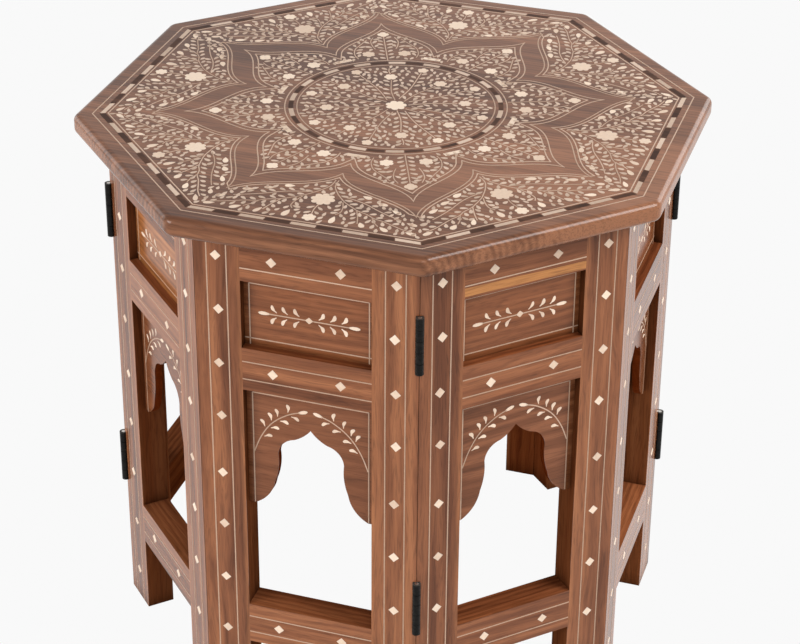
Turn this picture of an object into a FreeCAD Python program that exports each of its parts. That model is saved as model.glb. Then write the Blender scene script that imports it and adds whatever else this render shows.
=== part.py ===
import FreeCAD, Part
import os
import Sketcher

# Folding octagonal table: eight framed panels hinged into a ring, with a loose top.
# Frame: millimetres, +Z up, origin on the floor under the middle of the top.
# Corner 0 of the ring points to -Y and the corners count anticlockwise seen from above.
# Panel N stands between corner N-1 and corner N.
# Even corners carry hinges on the outside of the ring, odd corners on the inside.

PANEL_COUNT = 8
CORNER_TURN = 360 / PANEL_COUNT

SIZES = [
    ("panel_width", 168, "outer face of a panel, corner to corner"),
    ("frame_thickness", 22, "thickness of stiles and rails"),
    ("stile_width", 35, "outer face of a stile"),
    ("base_height", 422, "floor to the underside of the top"),
    ("leg_height", 67, "floor to the underside of the bottom rail"),
    ("bottom_rail_height", 35, "face of the bottom rail"),
    ("mid_rail_height", 35, "face of the middle rail"),
    ("frieze_height", 55, "opening between the middle rail and the top rail"),
    ("top_rail_height", 38, "face of the top rail"),
    ("mitre_gap", 0.2, "set-back of each mitred stile from the corner plane"),
    ("tenon_length", 14, "rail tenon inside the stile"),
    ("tenon_thickness", 8, "rail tenon across the frame"),
    ("tenon_shoulder", 6, "step above and below a tenon"),
    ("board_thickness", 6, "frieze board and arch board"),
    ("board_recess", 7, "outer face of the frame to the face of a board"),
    ("tongue_depth", 5, "board edge inside its groove"),
    ("groove_spare", 1, "groove depth beyond the board edge"),
    ("arch_board_height", 101.5, "underside of the middle rail to the foot of the arch board"),
    ("arch_apex_drop", 30, "underside of the middle rail to the point of the arch"),
    ("arch_waist", 51, "narrow part of the arch"),
    ("arch_foot", 5, "flat foot beside the stile"),
    ("hinge_length", 45.5, "height of one butt hinge"),
    ("lower_hinge_rise", 28.5, "top of the bottom rail to the middle of the lower hinge"),
    ("knuckle_diameter", 6.2, "outside of the hinge barrel"),
    ("knuckle_gap", 0.4, "between neighbouring knuckles"),
    ("knuckle_relief", 0.4, "free space round the barrel in wood and leaf"),
    ("pin_diameter", 3, "hinge pin"),
    ("pin_clearance", 0.05, "pin to the turning knuckle, on the radius"),
    ("axis_offset", 1, "hinge axis beyond the corner of the wood"),
    ("leaf_width", 15, "hinge axis to the free edge of the leaf"),
    ("leaf_thickness", 1.2, "hinge leaf"),
    ("screw_diameter", 2.6, "screw shank"),
    ("screw_head", 5.2, "countersunk screw head"),
    ("screw_length", 14, "screw from head to tip"),
    ("screw_spacing", 28, "between the two screws of a leaf"),
    ("screw_offset", 9.5, "hinge axis to the screws"),
    ("top_overhang", 23, "side of the top beyond the face of a panel"),
    ("top_thickness", 16, "top board"),
    ("top_corner_radius", 10, "rounded corners of the top"),
    ("top_edge_radius", 5, "rounded edges of the top"),
    ("peg_diameter", 10, "peg under the top"),
    ("peg_seat", 9, "peg inside the top"),
    ("peg_drop", 18, "peg below the top"),
    ("peg_clearance", 0.2, "peg to its socket, on the radius"),
    ("peg_end_gap", 2, "socket depth beyond the peg"),
    ("peg_wall", 1.8, "wood between a peg socket and the tenon of the top rail"),
]

doc = FreeCAD.newDocument("FoldingTable")
sheet = doc.addObject("Spreadsheet::Sheet", "Sizes")
for row, (alias, value, note) in enumerate(SIZES, start=1):
    sheet.set(f"A{row}", note)
    sheet.set(f"B{row}", str(value))
    sheet.setAlias(f"B{row}", alias)
doc.recompute()

# Distances that several pieces share, as expressions of the sheet
TAN = "tan(22.5 deg)"
COS = "cos(22.5 deg)"
HALF_WIDTH = "(Sizes.panel_width / 2)"
OUTER = f"({HALF_WIDTH} / {TAN})"
INNER = f"({OUTER} - Sizes.frame_thickness)"
MITRE_SETBACK = f"(Sizes.mitre_gap / {COS})"
HALF_OPENING = f"({HALF_WIDTH} - Sizes.stile_width)"
GROOVE_DEPTH = "(Sizes.tongue_depth + Sizes.groove_spare)"
BOARD_FRONT = f"({OUTER} - Sizes.board_recess)"
BOARD_BACK = f"({BOARD_FRONT} - Sizes.board_thickness)"
FRAME_MIDDLE = f"({OUTER} - Sizes.frame_thickness / 2)"
TENON_FRONT = f"({FRAME_MIDDLE} + Sizes.tenon_thickness / 2)"
TENON_BACK = f"({FRAME_MIDDLE} - Sizes.tenon_thickness / 2)"
BOTTOM_RAIL = ("Sizes.leg_height", "Sizes.bottom_rail_height")
TOP_RAIL = ("(Sizes.base_height - Sizes.top_rail_height)", "Sizes.top_rail_height")
MID_RAIL_TOP = f"({TOP_RAIL[0]} - Sizes.frieze_height)"
MID_RAIL_BOTTOM = f"({MID_RAIL_TOP} - Sizes.mid_rail_height)"
MID_RAIL = (MID_RAIL_BOTTOM, "Sizes.mid_rail_height")
RAILS = {"bottom_rail": BOTTOM_RAIL, "mid_rail": MID_RAIL, "top_rail": TOP_RAIL}
ARCH_FOOT_LEVEL = f"({MID_RAIL_BOTTOM} - Sizes.arch_board_height)"
TOP_RADIUS = f"(({OUTER} + Sizes.top_overhang) / {COS})"
KNUCKLE_RADIUS = "(Sizes.knuckle_diameter / 2)"
RELIEF_RADIUS = f"({KNUCKLE_RADIUS} + Sizes.knuckle_relief)"
SCREW_RADIUS = "(Sizes.screw_diameter / 2)"
SOCKET_RADIUS = "(Sizes.peg_diameter / 2 + Sizes.peg_clearance)"
PEG_X = f"({HALF_OPENING} + Sizes.tenon_length + Sizes.peg_wall + {SOCKET_RADIUS})"


def number(expression):
    return float(sheet.evalExpression(expression))


def bind(item, **properties):
    for name, expression in properties.items():
        item.setExpression(name.replace("__", "."), expression)
    return item


def solid(kind, name, **properties):
    return bind(doc.addObject(f"Part::{kind}", name), **properties)


def at(item, x="0", y="0", z="0"):
    return bind(item, Placement__Base__x=x, Placement__Base__y=y, Placement__Base__z=z)


def turned(item, angle):
    item.Placement.Rotation = FreeCAD.Rotation(FreeCAD.Vector(0, 0, 1), angle)
    return item


def group(name, items, angle=0):
    compound = doc.addObject("Part::Compound", name)
    compound.Links = items
    return turned(compound, angle)


def cut(name, base, tool):
    result = doc.addObject("Part::Cut", name)
    result.Base = base
    result.Tool = tool
    return result


def mirrored(name, source):
    mirror = doc.addObject("Part::Mirroring", name)
    mirror.Source = source
    mirror.Normal = FreeCAD.Vector(1, 0, 0)
    return mirror


def new_body(name):
    return doc.addObject("PartDesign::Body", name)


# A closed sketch: corners are pairs of expressions, bulges gives an arc's radius per side
def outline(body, name, role, corners, level="0", bulges=None):
    bulges = bulges or {}
    sketch = body.newObject("Sketcher::SketchObject", name)
    plane = next(f for f in body.Origin.OriginFeatures if f.Role == role)
    sketch.AttachmentSupport = (plane, [""])
    sketch.MapMode = "FlatFace"
    bind(sketch, AttachmentOffset__Base__z=level)
    points = [FreeCAD.Vector(number(x), number(y), 0) for x, y in corners]
    count = len(points)
    ends = []
    for side, start in enumerate(points):
        end = points[(side + 1) % count]
        if side not in bulges:
            sketch.addGeometry(Part.LineSegment(start, end))
            ends.append((1, 2))
            continue
        chord = end - start
        radius = number(bulges[side].lstrip("-"))
        sagitta = radius - (radius**2 - (chord.Length / 2) ** 2) ** 0.5
        outward = FreeCAD.Vector(chord.y, -chord.x, 0).normalize()
        inward = bulges[side].startswith("-")
        middle = (start + end) / 2 + outward * (-sagitta if inward else sagitta)
        sketch.addGeometry(Part.Arc(start, middle, end))
        ends.append((2, 1) if inward else (1, 2))
    for side in range(count):
        following = (side + 1) % count
        joint = (side, ends[side][1], following, ends[following][0])
        sketch.addConstraint(Sketcher.Constraint("Coincident", *joint))
    for side, corner in enumerate(corners):
        for kind, expression in zip(("DistanceX", "DistanceY"), corner):
            place = (-1, 1, side, ends[side][0], number(expression))
            fixed = sketch.addConstraint(Sketcher.Constraint(kind, *place))
            sketch.setExpression(f"Constraints[{fixed}]", expression)
    for side, expression in bulges.items():
        size = expression.lstrip("-")
        fixed = sketch.addConstraint(Sketcher.Constraint("Radius", side, number(size)))
        sketch.setExpression(f"Constraints[{fixed}]", size)
    return sketch


def rectangle(x_low, x_high, y_low, y_high):
    return [(x_low, y_low), (x_high, y_low), (x_high, y_high), (x_low, y_high)]


def pad(body, name, sketch, length):
    feature = body.newObject("PartDesign::Pad", name)
    feature.Profile = sketch
    return bind(feature, Length=length)


def pocket(body, name, sketch, depth, upwards=False):
    before = body.Shape.Volume
    feature = body.newObject("PartDesign::Pocket", name)
    feature.Profile = sketch
    feature.Reversed = upwards
    bind(feature, Length=depth)
    doc.recompute()
    if not body.Shape.Volume < before:
        raise RuntimeError(f"{name} removes nothing")
    return feature


# Stile: full-height leg, mitred to the corner, with mortises and a groove for the boards
stile = new_body("stile_blank")
stile_plan = [
    (f"-({HALF_WIDTH} - {MITRE_SETBACK})", f"-{OUTER}"),
    (f"-{HALF_OPENING}", f"-{OUTER}"),
    (f"-{HALF_OPENING}", f"-{INNER}"),
    (f"-({INNER} * {TAN} - {MITRE_SETBACK})", f"-{INNER}"),
]
pad(stile, "stile_pad", outline(stile, "stile_plan", "XY_Plane", stile_plan), "Sizes.base_height")
doc.recompute()
MORTISE_END = f"-({HALF_OPENING} + Sizes.tenon_length)"
for name, (level, height) in RAILS.items():
    mortise_plan = rectangle(MORTISE_END, f"-{HALF_OPENING}", f"-{TENON_FRONT}", f"-{TENON_BACK}")
    floor = f"{level} + Sizes.tenon_shoulder"
    sketch = outline(stile, f"{name}_mortise_plan", "XY_Plane", mortise_plan, level=floor)
    pocket(stile, f"{name}_mortise", sketch, f"{height} - 2 * Sizes.tenon_shoulder", upwards=True)
groove_plan = rectangle(
    f"-({HALF_OPENING} + {GROOVE_DEPTH})", f"-{HALF_OPENING}", f"-{BOARD_FRONT}", f"-{BOARD_BACK}"
)
groove_sketch = outline(stile, "stile_groove_plan", "XY_Plane", groove_plan, level=ARCH_FOOT_LEVEL)
groove_height = f"{TOP_RAIL[0]} + {GROOVE_DEPTH} - {ARCH_FOOT_LEVEL}"
pocket(stile, "stile_groove", groove_sketch, groove_height, upwards=True)


# Rails: tenoned at both ends, grooved where a board enters
def make_rail(name, level, height, groove_below, groove_above):
    body = new_body(name)
    plan = rectangle(f"-{HALF_OPENING}", HALF_OPENING, f"-{OUTER}", f"-{INNER}")
    pad(body, f"{name}_pad", outline(body, f"{name}_plan", "XY_Plane", plan, level=level), height)
    reach = f"({HALF_OPENING} + Sizes.tenon_length)"
    plan = rectangle(f"-{reach}", reach, f"-{TENON_FRONT}", f"-{TENON_BACK}")
    floor = f"{level} + Sizes.tenon_shoulder"
    sketch = outline(body, f"{name}_tenon_plan", "XY_Plane", plan, level=floor)
    pad(body, f"{name}_tenons", sketch, f"{height} - 2 * Sizes.tenon_shoulder")
    doc.recompute()
    plan = rectangle(f"-{HALF_OPENING}", HALF_OPENING, f"-{BOARD_FRONT}", f"-{BOARD_BACK}")
    if groove_below:
        sketch = outline(body, f"{name}_lower_plan", "XY_Plane", plan, level=level)
        pocket(body, f"{name}_lower_groove", sketch, GROOVE_DEPTH, upwards=True)
    if groove_above:
        sketch = outline(body, f"{name}_upper_plan", "XY_Plane", plan, level=f"{level} + {height}")
        pocket(body, f"{name}_upper_groove", sketch, GROOVE_DEPTH)
    return body


bottom_rail = make_rail("bottom_rail", *BOTTOM_RAIL, groove_below=False, groove_above=False)
mid_rail = make_rail("mid_rail", *MID_RAIL, groove_below=True, groove_above=True)
top_rail = make_rail("top_rail", *TOP_RAIL, groove_below=True, groove_above=False)
rails = group("rails", [top_rail, mid_rail, bottom_rail])

# Frieze board: plain board held in the grooves between the top and middle rails
frieze = new_body("frieze_board")
BOARD_REACH = f"({HALF_OPENING} + Sizes.tongue_depth)"
frieze_plan = rectangle(f"-{BOARD_REACH}", BOARD_REACH, f"-{BOARD_FRONT}", f"-{BOARD_BACK}")
FRIEZE_FLOOR = f"({MID_RAIL_TOP} - Sizes.tongue_depth)"
frieze_sketch = outline(frieze, "frieze_plan", "XY_Plane", frieze_plan, level=FRIEZE_FLOOR)
pad(frieze, "frieze_pad", frieze_sketch, f"{TOP_RAIL[0]} + Sizes.tongue_depth - {FRIEZE_FLOOR}")

# Arch board: sawn to a pointed ogee arch, with rounded shoulders and a flare down to its feet
arch = new_body("arch_board")
ARCH_HEIGHT = "(Sizes.arch_board_height - Sizes.arch_apex_drop)"
FOOT_X = f"({HALF_OPENING} - Sizes.arch_foot)"
WAIST_X = "(Sizes.arch_waist / 2)"
FLARE_X = f"(({FOOT_X} + 5 * {WAIST_X}) / 6)"


def arch_level(share):
    return f"({ARCH_FOOT_LEVEL} + {share} * {ARCH_HEIGHT})"


arch_right = [
    (BOARD_REACH, ARCH_FOOT_LEVEL),
    (BOARD_REACH, f"({MID_RAIL_BOTTOM} + Sizes.tongue_depth)"),
]
arch_curve = [
    (FOOT_X, ARCH_FOOT_LEVEL),
    (FLARE_X, arch_level(0.3)),
    (WAIST_X, arch_level(0.65)),
    (f"({WAIST_X} / 2)", arch_level(0.855)),
]
arch_apex = ("0", arch_level(1))


def other_side(corners):
    return [(f"-{x}", z) for x, z in reversed(corners)]


arch_corners = arch_right + other_side(arch_right) + other_side(arch_curve)[::-1]
arch_corners += [arch_apex] + arch_curve[::-1]
CURVE_RADII = {
    "flare": f"({ARCH_HEIGHT} * 0.4)",
    "lobe": f"({ARCH_HEIGHT} * 0.75)",
    "shoulder": f"({WAIST_X} * 0.62)",
    "ogee": f"({WAIST_X} * 1.3)",
}
first_curve = 2 * len(arch_right)
last_curve = len(arch_corners) - 2
arch_bulges = {}
for step, (curve, sign) in enumerate([("flare", ""), ("lobe", ""), ("shoulder", "-"), ("ogee", "")]):
    arch_bulges[first_curve + step] = sign + CURVE_RADII[curve]
    arch_bulges[last_curve - step] = sign + CURVE_RADII[curve]
arch_sketch = outline(arch, "arch_outline", "XZ_Plane", arch_corners, BOARD_BACK, bulges=arch_bulges)
pad(arch, "arch_pad", arch_sketch, "Sizes.board_thickness")
doc.recompute()

# Top: octagonal board with rounded corners and edges
top = new_body("top_blank")
top_corners = []
for corner in range(PANEL_COUNT):
    angle = corner * CORNER_TURN - 90
    top_corners.append((f"{TOP_RADIUS} * cos({angle} deg)", f"{TOP_RADIUS} * sin({angle} deg)"))
top_sketch = outline(top, "top_plan", "XY_Plane", top_corners, level="Sizes.base_height")
top_pad = pad(top, "top_pad", top_sketch, "Sizes.top_thickness")
doc.recompute()


def round_edges(body, name, feature, radius, wanted):
    names = [f"Edge{i}" for i, edge in enumerate(feature.Shape.Edges, start=1) if wanted(edge)]
    fillet = body.newObject("PartDesign::Fillet", name)
    fillet.Base = (feature, names)
    bind(fillet, Radius=radius)
    doc.recompute()
    return fillet


def is_upright(edge):
    return edge.BoundBox.ZLength > edge.BoundBox.XLength + edge.BoundBox.YLength


top_rounded = round_edges(top, "top_corners", top_pad, "Sizes.top_corner_radius", is_upright)
EDGE_RADIUS = "min(Sizes.top_edge_radius; 0.45 * Sizes.top_thickness)"
round_edges(top, "top_edges", top_rounded, EDGE_RADIUS, lambda edge: not is_upright(edge))

# Pegs: two dowels glued in the top that drop into panel 1, with their seats and sockets
PEG_Y = f"-{FRAME_MIDDLE}"
PEG_RADIUS = "Sizes.peg_diameter / 2"


def peg_pair(name, radius, low, height):
    pair = []
    for side, x in (("left", f"-{PEG_X}"), ("right", PEG_X)):
        rod = solid("Cylinder", f"{name}_{side}", Radius=radius, Height=height)
        pair.append(at(rod, x, PEG_Y, low))
    return pair


def corner_angle(panel):
    return panel * CORNER_TURN


def panel_angle(panel):
    return corner_angle(panel) - CORNER_TURN / 2


PEG_LOW = "Sizes.base_height - Sizes.peg_drop"
pegs = peg_pair("peg", PEG_RADIUS, PEG_LOW, "Sizes.peg_drop + Sizes.peg_seat")
seats = peg_pair("peg_seat", PEG_RADIUS, "Sizes.base_height", "Sizes.peg_seat")
sockets = peg_pair(
    "peg_socket",
    SOCKET_RADIUS,
    f"{PEG_LOW} - Sizes.peg_end_gap",
    "Sizes.peg_drop + Sizes.peg_end_gap",
)

# Butt hinges, drawn with their corner on the -Y axis and their panel on the +X side
HINGE_FLOOR = "-Sizes.hinge_length / 2"
HINGE_LEVELS = {
    "upper": f"{MID_RAIL_TOP} + Sizes.frieze_height / 2",
    "lower": "Sizes.leg_height + Sizes.bottom_rail_height + Sizes.lower_hinge_rise",
}
KNUCKLE_COUNT = 5
KNUCKLE_PITCH = f"(Sizes.hinge_length / {KNUCKLE_COUNT})"
AXIS_Y = {
    "outer": f"-({OUTER} / {COS} + Sizes.axis_offset)",
    "inner": f"-({INNER} / {COS} - Sizes.axis_offset)",
}
LEAF_WAY = {"outer": 1, "inner": -1}
LEAF_KNUCKLES = {"fixed": (0, 2, 4), "turning": (1, 3)}
BORE_RADIUS = {
    "fixed": "Sizes.pin_diameter / 2",
    "turning": "Sizes.pin_diameter / 2 + Sizes.pin_clearance",
}


def leaf_plate(name, corner):
    plate = solid(
        "Box",
        name,
        Length="Sizes.leaf_thickness",
        Width="Sizes.leaf_width",
        Height="Sizes.hinge_length",
    )
    y = AXIS_Y[corner] if LEAF_WAY[corner] > 0 else f"{AXIS_Y[corner]} - Sizes.leaf_width"
    return at(plate, "Sizes.mitre_gap", y, HINGE_FLOOR)


def on_axis(name, corner, radius, low, height):
    rod = solid("Cylinder", name, Radius=radius, Height=height)
    return at(rod, "0", AXIS_Y[corner], low)


def hinge_screws(name, corner, kind, start, length, **radii):
    pair = []
    y = f"{AXIS_Y[corner]} + {LEAF_WAY[corner]} * Sizes.screw_offset"
    for side, sign in (("low", "-"), ("high", "")):
        rod = solid(kind, f"{name}_{side}", Height=length, **radii)
        at(rod, start, y, f"{sign}Sizes.screw_spacing / 2")
        rod.Placement.Rotation = FreeCAD.Rotation(FreeCAD.Vector(0, 1, 0), 90)
        pair.append(rod)
    return pair


def screw_heads(name, corner):
    radii = {"Radius1": "Sizes.screw_head / 2", "Radius2": SCREW_RADIUS}
    return hinge_screws(name, corner, "Cone", "Sizes.mitre_gap", "Sizes.leaf_thickness", **radii)


def screw_shanks(name, corner):
    start = "Sizes.mitre_gap + Sizes.leaf_thickness"
    length = "Sizes.screw_length - Sizes.leaf_thickness"
    return hinge_screws(name, corner, "Cylinder", start, length, Radius=SCREW_RADIUS)


def make_leaf(corner, kind):
    name = f"{corner}_{kind}_leaf"
    own = LEAF_KNUCKLES[kind]
    knuckles = []
    reliefs = []
    for place in range(KNUCKLE_COUNT):
        low = f"{HINGE_FLOOR} + {place} * {KNUCKLE_PITCH}"
        if place not in own:
            part = f"{name}_relief_{place}"
            reliefs.append(on_axis(part, corner, RELIEF_RADIUS, low, KNUCKLE_PITCH))
            continue
        first = 0 if place == 0 else 1
        last = 0 if place == KNUCKLE_COUNT - 1 else 1
        low += f" + {first} * Sizes.knuckle_gap / 2"
        height = f"{KNUCKLE_PITCH} - {first + last} * Sizes.knuckle_gap / 2"
        knuckles.append(on_axis(f"{name}_knuckle_{place}", corner, KNUCKLE_RADIUS, low, height))
    plate = leaf_plate(f"{name}_plate", corner)
    free_plate = cut(f"{name}_plate_cut", plate, group(f"{name}_reliefs", reliefs))
    blank = doc.addObject("Part::MultiFuse", f"{name}_blank")
    blank.Shapes = [free_plate] + knuckles
    bore = on_axis(f"{name}_bore", corner, BORE_RADIUS[kind], HINGE_FLOOR, "Sizes.hinge_length")
    holes = group(f"{name}_holes", [bore] + screw_heads(f"{name}_sink", corner))
    return cut(name, blank, holes)


def make_screws(corner):
    screws = []
    heads = screw_heads(f"{corner}_screw_head", corner)
    shanks = screw_shanks(f"{corner}_screw_shank", corner)
    for side, (head, shank) in enumerate(zip(heads, shanks)):
        screw = doc.addObject("Part::MultiFuse", f"{corner}_screw_{side}")
        screw.Shapes = [head, shank]
        screws.append(screw)
    return group(f"{corner}_screws", screws)


def make_gain(corner):
    plate = leaf_plate(f"{corner}_gain_plate", corner)
    low = f"{HINGE_FLOOR} - Sizes.knuckle_relief"
    height = "Sizes.hinge_length + 2 * Sizes.knuckle_relief"
    barrel = on_axis(f"{corner}_gain_barrel", corner, RELIEF_RADIUS, low, height)
    gain = doc.addObject("Part::MultiFuse", f"{corner}_gain")
    gain.Shapes = [plate, barrel] + screw_shanks(f"{corner}_pilot", corner)
    return gain


# The start corner of a panel takes a hinge part as drawn, its end corner the mirror image
def both_hinges(name, item, corner_end):
    turn = CORNER_TURN / 2 if corner_end else -CORNER_TURN / 2
    source = mirrored(f"{name}_mirrored", item) if corner_end else item
    pair = []
    for place, level in HINGE_LEVELS.items():
        hinge = group(f"{name}_{place}", [source], turn)
        pair.append(at(hinge, z=level))
    return pair


leaves = {(c, k): make_leaf(c, k) for c in AXIS_Y for k in LEAF_KNUCKLES}
screws = {c: make_screws(c) for c in AXIS_Y}
gains = {c: make_gain(c) for c in AXIS_Y}
pins = {
    c: on_axis(f"{c}_pin", c, "Sizes.pin_diameter / 2", HINGE_FLOOR, "Sizes.hinge_length")
    for c in AXIS_Y
}
stiles = {
    c: cut(f"{c}_stile", stile, group(f"{c}_gains", both_hinges(f"{c}_gain", gains[c], False)))
    for c in AXIS_Y
}

# Odd panels start at an outside hinge, even panels at an inside hinge
PANEL_ENDS = {1: ("outer", "inner"), 0: ("inner", "outer")}
panel_stiles = {}
panel_leaves = {}
panel_pins = {}
panel_screws = {}
for parity, (start, end) in PANEL_ENDS.items():
    right_stile = mirrored(f"right_stile_{parity}", stiles[end])
    panel_stiles[parity] = group(f"stile_pair_{parity}", [stiles[start], right_stile])
    panel_leaves[parity] = group(
        f"leaf_set_{parity}",
        both_hinges(f"start_leaf_{parity}", leaves[start, "turning"], False)
        + both_hinges(f"end_leaf_{parity}", leaves[end, "fixed"], True),
    )
    panel_pins[parity] = group(f"pin_set_{parity}", both_hinges(f"end_pin_{parity}", pins[end], True))
    panel_screws[parity] = group(
        f"screw_set_{parity}",
        both_hinges(f"start_screw_{parity}", screws[start], False)
        + both_hinges(f"end_screw_{parity}", screws[end], True),
    )
socketed_stiles = cut("socketed_stiles", panel_stiles[1], group("peg_sockets", sockets))

# Finished nodes: every panel's pieces turned to their place in the ring, and the top
nodes = []


def finish(label, item, angle=0):
    node = group(f"node_{label}", [item], angle)
    node.Label = label
    nodes.append(node)


for panel in range(1, PANEL_COUNT + 1):
    parity = panel % 2
    pieces = {
        "stiles": socketed_stiles if panel == 1 else panel_stiles[parity],
        "rails": rails,
        "frieze_board": frieze,
        "arch_board": arch,
        "hinge_leaves": panel_leaves[parity],
        "hinge_pins": panel_pins[parity],
        "hinge_screws": panel_screws[parity],
    }
    for piece, item in pieces.items():
        finish(f"panel_{panel}_{piece}", item, panel_angle(panel))

seat_group = group("peg_seats", seats, panel_angle(1))
finish("top_board", cut("top_with_seats", top, seat_group))
finish("top_pegs", group("peg_set", pegs), panel_angle(1))

doc.recompute()
for item in doc.Objects:
    if "Invalid" in item.State or "Error" in item.State:
        raise RuntimeError(f"{item.Name} failed: {item.State}")
for node in nodes:
    if node.Shape.isNull() or not node.Shape.isValid() or not node.Shape.Solids:
        raise RuntimeError(f"{node.Label} has no valid solid")

os.makedirs("parts", exist_ok=True)
for node in nodes:
    Part.makeCompound(node.Shape.Solids).exportStep(f"parts/{node.Label}.step")
print(len(nodes), "nodes written")
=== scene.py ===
import math
import random

import bmesh
import bpy
from mathutils import Matrix, Vector


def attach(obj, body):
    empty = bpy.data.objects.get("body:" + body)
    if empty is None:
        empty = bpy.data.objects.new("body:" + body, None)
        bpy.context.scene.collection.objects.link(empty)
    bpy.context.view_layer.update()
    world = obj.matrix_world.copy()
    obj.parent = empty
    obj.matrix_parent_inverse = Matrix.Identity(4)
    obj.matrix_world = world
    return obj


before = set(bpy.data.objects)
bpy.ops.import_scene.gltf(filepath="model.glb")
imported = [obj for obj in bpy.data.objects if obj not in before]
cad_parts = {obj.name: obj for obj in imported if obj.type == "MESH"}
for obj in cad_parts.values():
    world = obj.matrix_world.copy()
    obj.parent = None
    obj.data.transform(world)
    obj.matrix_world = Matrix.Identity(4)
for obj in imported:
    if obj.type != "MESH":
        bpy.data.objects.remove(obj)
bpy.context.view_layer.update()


# Stiles: sixteen straight sheesham posts that also make the legs. Each is planed square, mitred
# to its neighbour and lacquered, with the grain running up the post.

# Sets a socket of a node, or links it where the value is the output of another node
def put(socket, value):
    if isinstance(value, bpy.types.NodeSocket):
        socket.id_data.links.new(value, socket)
    else:
        socket.default_value = value


# Sets sockets and options of a node by name, with _ for the spaces in a socket's name
def fill(node, **settings):
    for key, value in settings.items():
        socket = node.inputs.get(key.replace("_", " "))
        if socket is None:
            setattr(node, key, value)
        else:
            put(socket, value)
    return node


# One node tree, with short ways to add to it: a node, a sum on numbers or vectors, a value spread from
# one range to another, a ramp of colours, and one colour laid over another
class Nodes:
    def __init__(self, tree):
        self.tree = tree

    def add(self, kind, *feeds, **settings):
        node = fill(self.tree.nodes.new("ShaderNode" + kind), **settings)
        for socket, value in zip(node.inputs, feeds):
            put(socket, value)
        return node

    def calc(self, operation, *values, kind="Math", **settings):
        return self.add(kind, *values, operation=operation, **settings).outputs[0]

    def spread(self, value, low, high, to_low, to_high):
        node = self.add("MapRange", Value=value, From_Min=low, From_Max=high, To_Min=to_low, To_Max=to_high)
        return node.outputs["Result"]

    def ramp(self, value, positions, tones):
        node = self.add("ValToRGB", value)
        steps = node.color_ramp.elements
        steps[0].position, steps[1].position = positions[0], positions[-1]
        for position in positions[1:-1]:
            steps.new(position)
        for step, tone in zip(steps, tones):
            step.color = (*tone, 1)
        return node.outputs["Color"]

    def tint(self, colour, other, share, blend="MULTIPLY"):
        node = self.add("Mix", data_type="RGBA", blend_type=blend, Factor=share, A=colour, B=other)
        return node.outputs["Result"]


def new_material(name):
    material = bpy.data.materials.new(name)
    material.use_nodes = True
    return material, material.node_tree.nodes["Principled BSDF"], Nodes(material.node_tree)


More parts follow.
